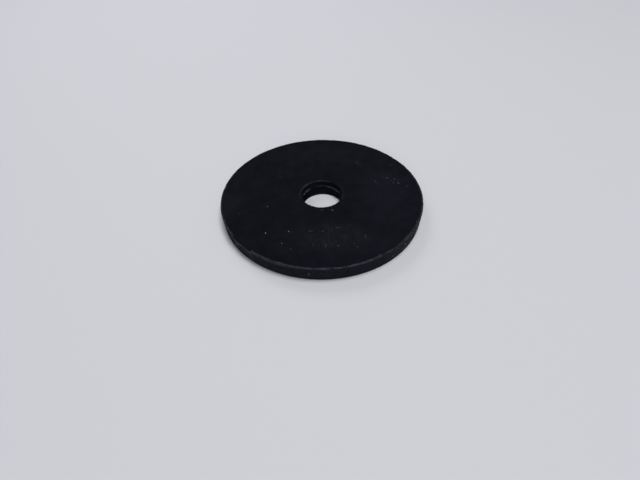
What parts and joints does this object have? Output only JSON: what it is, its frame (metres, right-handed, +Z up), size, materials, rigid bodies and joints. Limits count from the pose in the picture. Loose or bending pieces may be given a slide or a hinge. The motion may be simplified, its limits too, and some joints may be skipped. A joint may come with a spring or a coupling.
{
  "type": "flat rubber washer",
  "caption": "Black rubber flat washer: a plain disc with a small centre hole that is slightly wider at its upper end, and a fine trimmed lip round the upper edge.",
  "frame": {"origin": "centre of the lower face, on the axis of the hole", "axes": "+Z up along the hole's axis, from the resting face towards the wider mouth; X and Y lie in the resting face and are interchangeable, because the washer is round"},
  "size_m": [0.04, 0.04, 0.003],
  "materials": {
    "black_rubber": "matt"
  },
  "bodies": {
    "root": {"washer": "black_rubber"}
  },
  "joints": []
}
